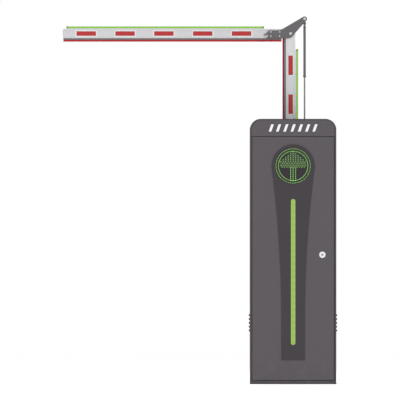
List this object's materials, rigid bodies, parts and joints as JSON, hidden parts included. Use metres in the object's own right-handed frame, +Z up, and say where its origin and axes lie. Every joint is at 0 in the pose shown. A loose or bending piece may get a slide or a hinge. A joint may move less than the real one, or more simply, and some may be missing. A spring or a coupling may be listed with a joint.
{
  "type": "parking barrier gate",
  "caption": "Folding-arm parking barrier: tall sheet-metal cabinet with lit front door and a geared shaft that raises a two-part boom, its elbow kept level by a side link.",
  "frame": {"origin": "centre of the cabinet's footprint on the ground, which is also the centre of the four anchor holes", "axes": "+Z up, -Y out of the door (the front), +X to the right seen from the front; the outer boom lies along -X, behind the cabinet"},
  "size_m": [1.059, 0.3625, 1.4173],
  "materials": {
    "cabinet_paint": "satin",
    "frame_paint": "satin",
    "crank_paint": "satin",
    "inlay_film": "satin",
    "display_window": "gloss",
    "emblem_white": "satin",
    "green_diffuser": "frosted",
    "lock_chrome": "polished",
    "bright_steel": "brushed",
    "zinc_sheet": "zinc plated",
    "dark_steel": "satin",
    "cast_metal": "cast",
    "cast_aluminium": "cast",
    "motor_paint": "satin",
    "arm_aluminium": "anodised",
    "carrier_aluminium": "anodised",
    "red_rubber": "matte",
    "red_reflector": "retroreflective",
    "black_rubber": "matte",
    "black_plastic": "moulded",
    "grey_plastic": "moulded",
    "sensor_orange": "moulded",
    "spring_black": "satin"
  },
  "bodies": {
    "cabinet": {"base_plate": "frame_paint", "cabinet_shell": "frame_paint", "rear_panel": "frame_paint", "top_fascia": "cabinet_paint", "fascia_emblem": "emblem_white", "front_frame": "frame_paint", "door_seal": "black_rubber", "hinge_pins": "bright_steel", "chassis_plate_front": "zinc_sheet", "chassis_plate_rear": "zinc_sheet", "chassis_posts": "bright_steel", "shaft_bearings": "cast_metal", "shaft_seal_cover": "black_rubber", "gearbox_housing": "cast_aluminium", "gearbox_cover": "cast_aluminium", "motor_housing": "motor_paint", "stop_buffers": "black_rubber", "spring_shelf": "zinc_sheet", "limit_sensors": "sensor_orange", "electronics_plate": "zinc_sheet", "controller_box": "grey_plastic", "power_supply": "zinc_sheet", "terminal_block": "grey_plastic", "link_anchor": "bright_steel", "cabinet_screws": "bright_steel"},
    "worm": {"worm_shaft": "bright_steel"},
    "boom_shaft": {"main_shaft": "bright_steel", "shaft_lever": "dark_steel", "arm_holder": "frame_paint", "arm_clamp_plate": "frame_paint", "arm_clamp_bolts": "bright_steel", "lower_arm": "arm_aluminium", "lower_edge_carrier": "carrier_aluminium", "lower_edge_rubber": "red_rubber", "lower_light_strip": "green_diffuser", "lower_stickers": "red_reflector", "elbow_block": "bright_steel"},
    "outer_boom": {"outer_arm": "arm_aluminium", "outer_edge_carrier": "carrier_aluminium", "outer_edge_rubber": "red_rubber", "outer_light_strip": "green_diffuser", "outer_stickers": "red_reflector", "outer_end_cap": "black_plastic", "crank_plates": "crank_paint", "elbow_bolts": "bright_steel", "elbow_pivot_bolt": "bright_steel", "crank_pin": "bright_steel"},
    "link": {"link_tube": "dark_steel", "link_rod": "bright_steel", "link_rod_ends": "dark_steel"},
    "output_crank": {"drive_crank": "dark_steel"},
    "drive_rod": {"connecting_rod": "bright_steel"},
    "spring_unit": {"spring_rod": "bright_steel", "balance_spring": "spring_black"},
    "door": {"door_panel": "cabinet_paint", "inlay_panel": "inlay_film", "light_bar": "green_diffuser", "display_lens": "display_window", "lock_body": "lock_chrome"},
    "lock": {"lock_cylinder": "bright_steel"}
  },
  "joints": [
    {"name": "boom_lift", "type": "hinge", "parent": "cabinet", "child": "boom_shaft", "pos_m": [-0.008, 0.06, 0.86], "axis": [0, -1, 0], "range_deg": [0, 90], "deforming": ["balance_spring"]},
    {"name": "elbow_fold", "type": "hinge", "parent": "boom_shaft", "child": "outer_boom", "pos_m": [-0.008, 0.185, 1.351], "axis": [0, -1, 0], "range_deg": [-90, 0]},
    {"name": "link_swing", "type": "hinge", "parent": "cabinet", "child": "link", "pos_m": [0.046, 0.185, 0.917], "axis": [0, -1, 0], "range_deg": [0, 90]},
    {"name": "output_turn", "type": "hinge", "parent": "cabinet", "child": "output_crank", "pos_m": [-0.008, 0.08, 0.56], "axis": [0, -1, 0], "range_deg": [0, 90]},
    {"name": "worm_turn", "type": "hinge", "parent": "cabinet", "child": "worm", "pos_m": [-0.055, 0.08, 0.56], "axis": [0, 0, 1], "range_deg": [0, 1350]},
    {"name": "drive_rod_swing", "type": "hinge", "parent": "output_crank", "child": "drive_rod", "pos_m": [-0.05043, 0.043, 0.60243], "axis": [0, -1, 0], "range_deg": [-90, 0]},
    {"name": "spring_rod_swing", "type": "hinge", "parent": "boom_shaft", "child": "spring_unit", "pos_m": [0.03443, 0.043, 0.81757], "axis": [0, -1, 0], "range_deg": [-90, 0]},
    {"name": "door_swing", "type": "hinge", "parent": "cabinet", "child": "door", "pos_m": [-0.151, -0.145, 0.484], "axis": [0, 0, -1], "range_deg": [0, 105]},
    {"name": "lock_turn", "type": "hinge", "parent": "door", "child": "lock", "pos_m": [0.1124, -0.14, 0.4976], "axis": [0, -1, 0], "range_deg": [0, 90]}
  ],
  "couplings": [
    {"joint": "elbow_fold", "follows": "boom_lift", "ratio": -1},
    {"joint": "link_swing", "follows": "boom_lift", "ratio": 1},
    {"joint": "output_turn", "follows": "boom_lift", "ratio": 1},
    {"joint": "worm_turn", "follows": "boom_lift", "ratio": 15},
    {"joint": "drive_rod_swing", "follows": "boom_lift", "ratio": -1},
    {"joint": "spring_rod_swing", "follows": "boom_lift", "ratio": -1}
  ]
}
